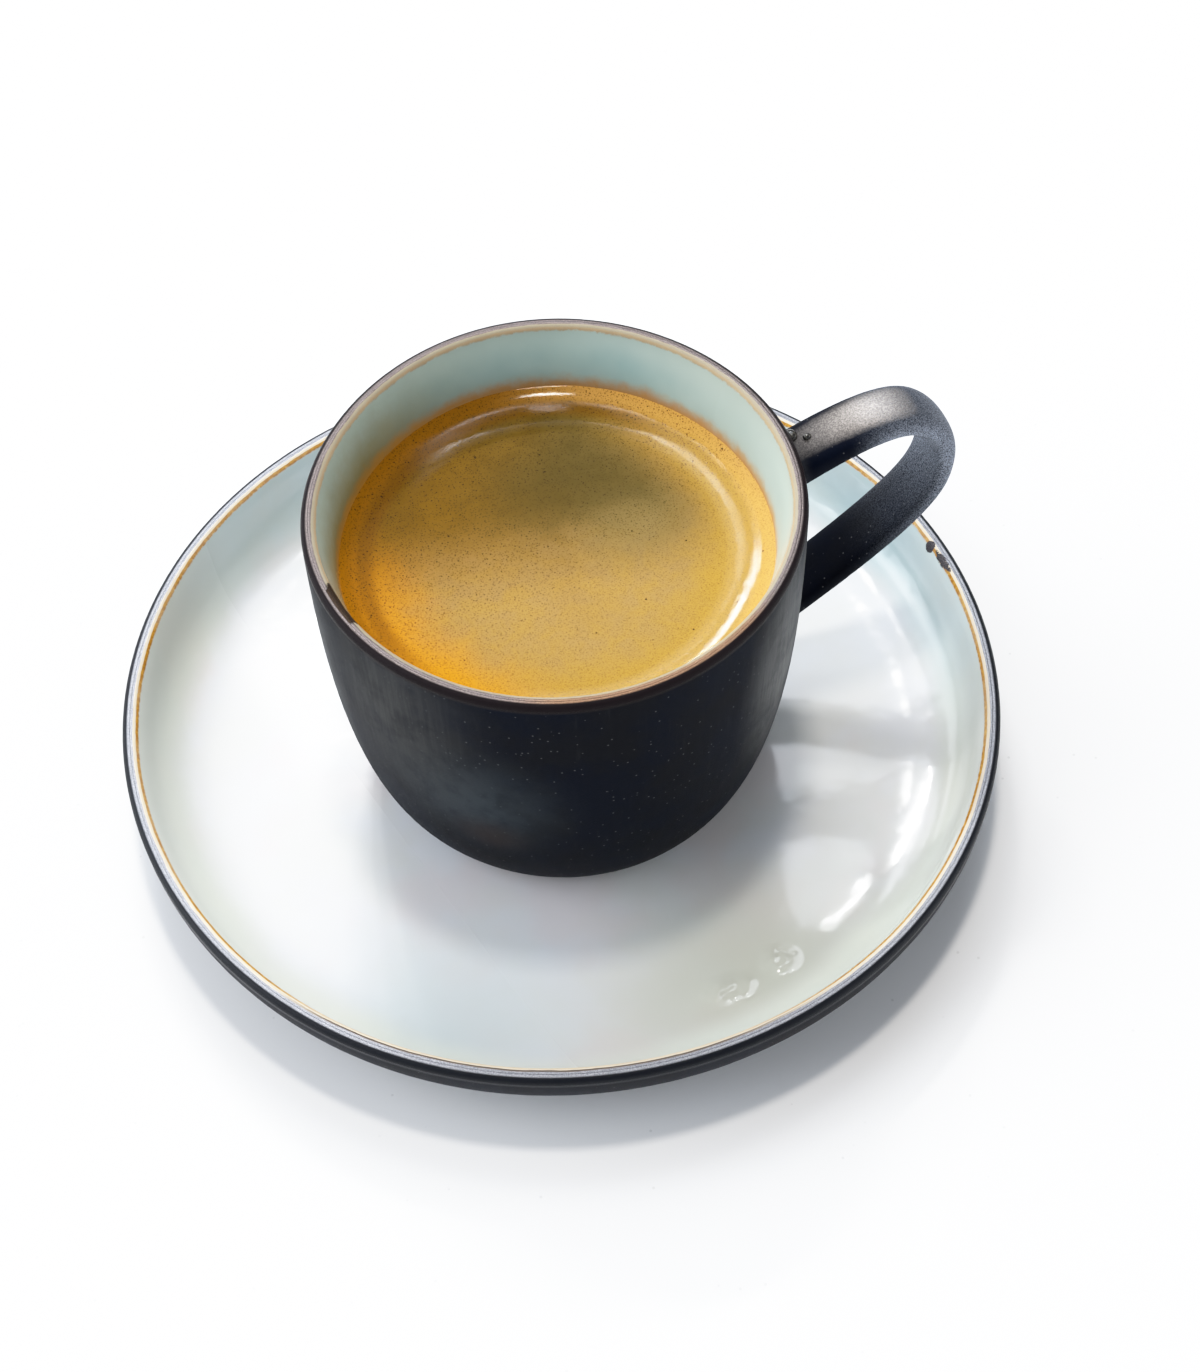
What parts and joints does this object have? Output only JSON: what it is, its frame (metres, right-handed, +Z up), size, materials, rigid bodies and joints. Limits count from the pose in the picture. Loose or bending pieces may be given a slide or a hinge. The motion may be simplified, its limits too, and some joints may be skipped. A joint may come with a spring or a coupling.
{
  "type": "americano in a cup with saucer",
  "caption": "Black coffee with a golden crema in a round, nearly straight-sided stoneware cup with a strap handle, dark outside and pale green inside, on a matching shallow saucer.",
  "frame": {"origin": "middle of the saucer's foot ring, on the table", "axes": "+Z up, +X from the cup's axis towards its handle, +Y to the side"},
  "size_m": [0.1549, 0.1564, 0.0673],
  "materials": {
    "saucer_stoneware": "gloss",
    "cup_stoneware": "satin",
    "coffee": "gloss",
    "crema": "gloss"
  },
  "bodies": {
    "root": {"saucer": "saucer_stoneware", "cup": "cup_stoneware", "coffee": "coffee", "crema": "crema"}
  },
  "joints": []
}
